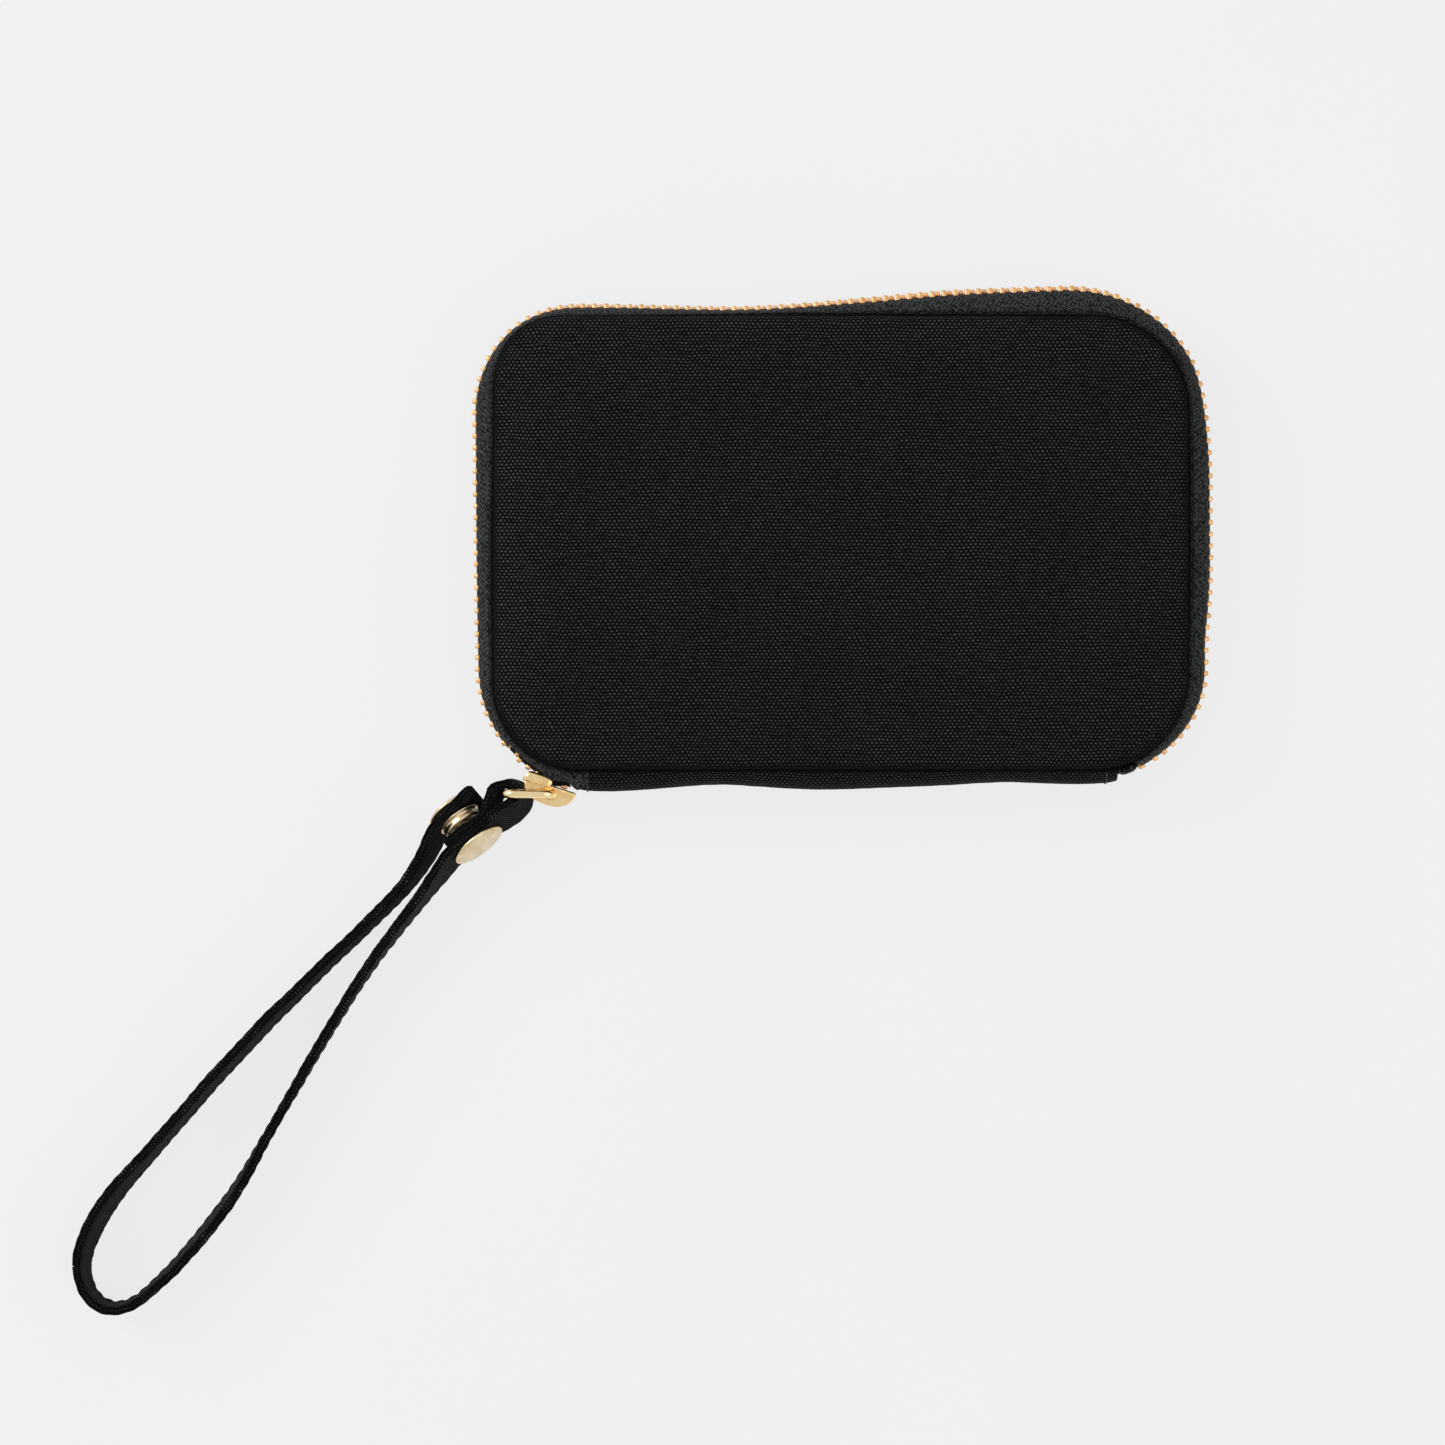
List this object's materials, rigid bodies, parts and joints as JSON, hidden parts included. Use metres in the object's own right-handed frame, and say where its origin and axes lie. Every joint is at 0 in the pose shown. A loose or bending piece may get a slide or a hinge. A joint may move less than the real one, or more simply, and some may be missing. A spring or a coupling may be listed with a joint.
{
  "type": "zippered pouch",
  "caption": "Slim padded zippered pouch in black canvas, opening flat on a cloth spine, with a wrist strap snapped round a ring on the zip slider.",
  "frame": {"origin": "centre of the back cover's resting face, on the surface the pouch lies on", "axes": "+X along the pouch's width away from the strap, +Y across its height towards the top edge, +Z out of the front cover"},
  "size_m": [0.2495, 0.225, 0.022],
  "materials": {
    "canvas": "plain-weave black canvas, matt",
    "lining": "smooth dark lining cloth",
    "foam": "closed-cell foam sheet, hidden",
    "binding": "woven bias binding",
    "tape": "black twill zip tape",
    "teeth": "warm gold-toned brass",
    "slider": "polished pale gold plating",
    "ring": "polished pale gold plating",
    "snap": "brushed champagne-gold plating",
    "strap": "folded and stitched black canvas ribbon"
  },
  "bodies": {
    "back_half": {"back_cover": "canvas", "back_padding": "foam", "back_lining": "lining", "back_seam_binding": "binding", "back_zip_tape": "tape", "back_zip_teeth": "teeth", "zip_bottom_stop": "teeth", "zip_end_tab": "canvas", "zip_top_stops": "teeth", "front_tape_end": "tape", "front_end_teeth": "teeth"},
    "spine": {"spine_gusset": "canvas", "spine_lining": "lining"},
    "front_half": {"front_cover": "canvas", "front_padding": "foam", "front_lining": "lining", "front_seam_binding": "binding", "front_zip_tape": "tape", "front_zip_teeth": "teeth"},
    "slider": {"slider_body": "slider", "slider_crown": "slider"},
    "ring": {"pull_ring": "ring"},
    "strap": {"strap_tab_loop": "strap", "strap_long_leg": "strap", "snap_cap_long_leg": "snap", "snap_stud": "snap"},
    "strap_free_leg": {"strap_snap_leg": "strap", "snap_cap_snap_leg": "snap", "snap_socket": "snap"}
  },
  "joints": [
    {"name": "spine_fold", "type": "hinge", "parent": "back_half", "child": "spine", "pos_m": [0, -0.0497, 0.004], "axis": [1, 0, 0], "range_deg": [0, 90]},
    {"name": "front_fold", "type": "hinge", "parent": "spine", "child": "front_half", "pos_m": [0, -0.0497, 0.018], "axis": [1, 0, 0], "range_deg": [0, 90]},
    {"name": "slider_travel", "type": "hinge", "parent": "back_half", "child": "slider", "pos_m": [-0.052, -0.0271, 0.011], "axis": [0, 0, -1], "range_deg": [0, 46]},
    {"name": "ring_swing", "type": "hinge", "parent": "slider", "child": "ring", "pos_m": [-0.06312, -0.05535, 0.008], "axis": [0, 0, -1], "range_deg": [-60, 8]},
    {"name": "strap_swing", "type": "hinge", "parent": "ring", "child": "strap", "pos_m": [-0.07352, -0.05535, 0.008], "axis": [0, 0, -1], "range_deg": [-8, 24]},
    {"name": "snap_release", "type": "hinge", "parent": "strap", "child": "strap_free_leg", "pos_m": [-0.1668, -0.158, 0.0059], "axis": [0, 0, 1], "range_deg": [0, 35]}
  ],
  "couplings": [
    {"joint": "front_fold", "follows": "spine_fold", "ratio": 1}
  ]
}
